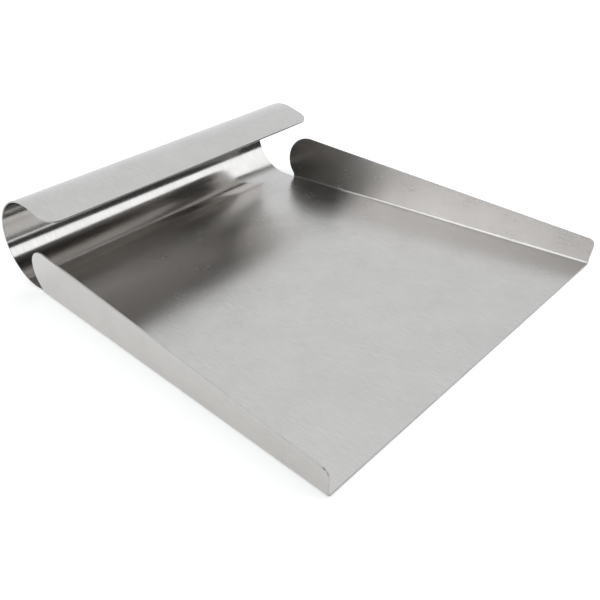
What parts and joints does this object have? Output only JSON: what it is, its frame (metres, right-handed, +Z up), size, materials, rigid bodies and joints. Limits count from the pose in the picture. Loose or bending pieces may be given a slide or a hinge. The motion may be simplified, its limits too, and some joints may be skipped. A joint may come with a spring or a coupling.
{
  "type": "mud pan",
  "caption": "Open-fronted pan folded from one stainless sheet: flat floor, low tapering side walls, and the rear rolled over into a full-width carrying handle.",
  "frame": {"origin": "middle of the flat floor's underside, halfway between the front edge and the rear end of the side folds", "axes": "+Z up, the open front edge towards -Y, the rolled handle towards +Y, X across the pan; the pan is symmetric about the YZ plane"},
  "size_m": [0.2814, 0.2912, 0.061],
  "materials": {
    "stainless_sheet": "satin brushed"
  },
  "bodies": {
    "root": {"folded_sheet": "stainless_sheet"}
  },
  "joints": []
}
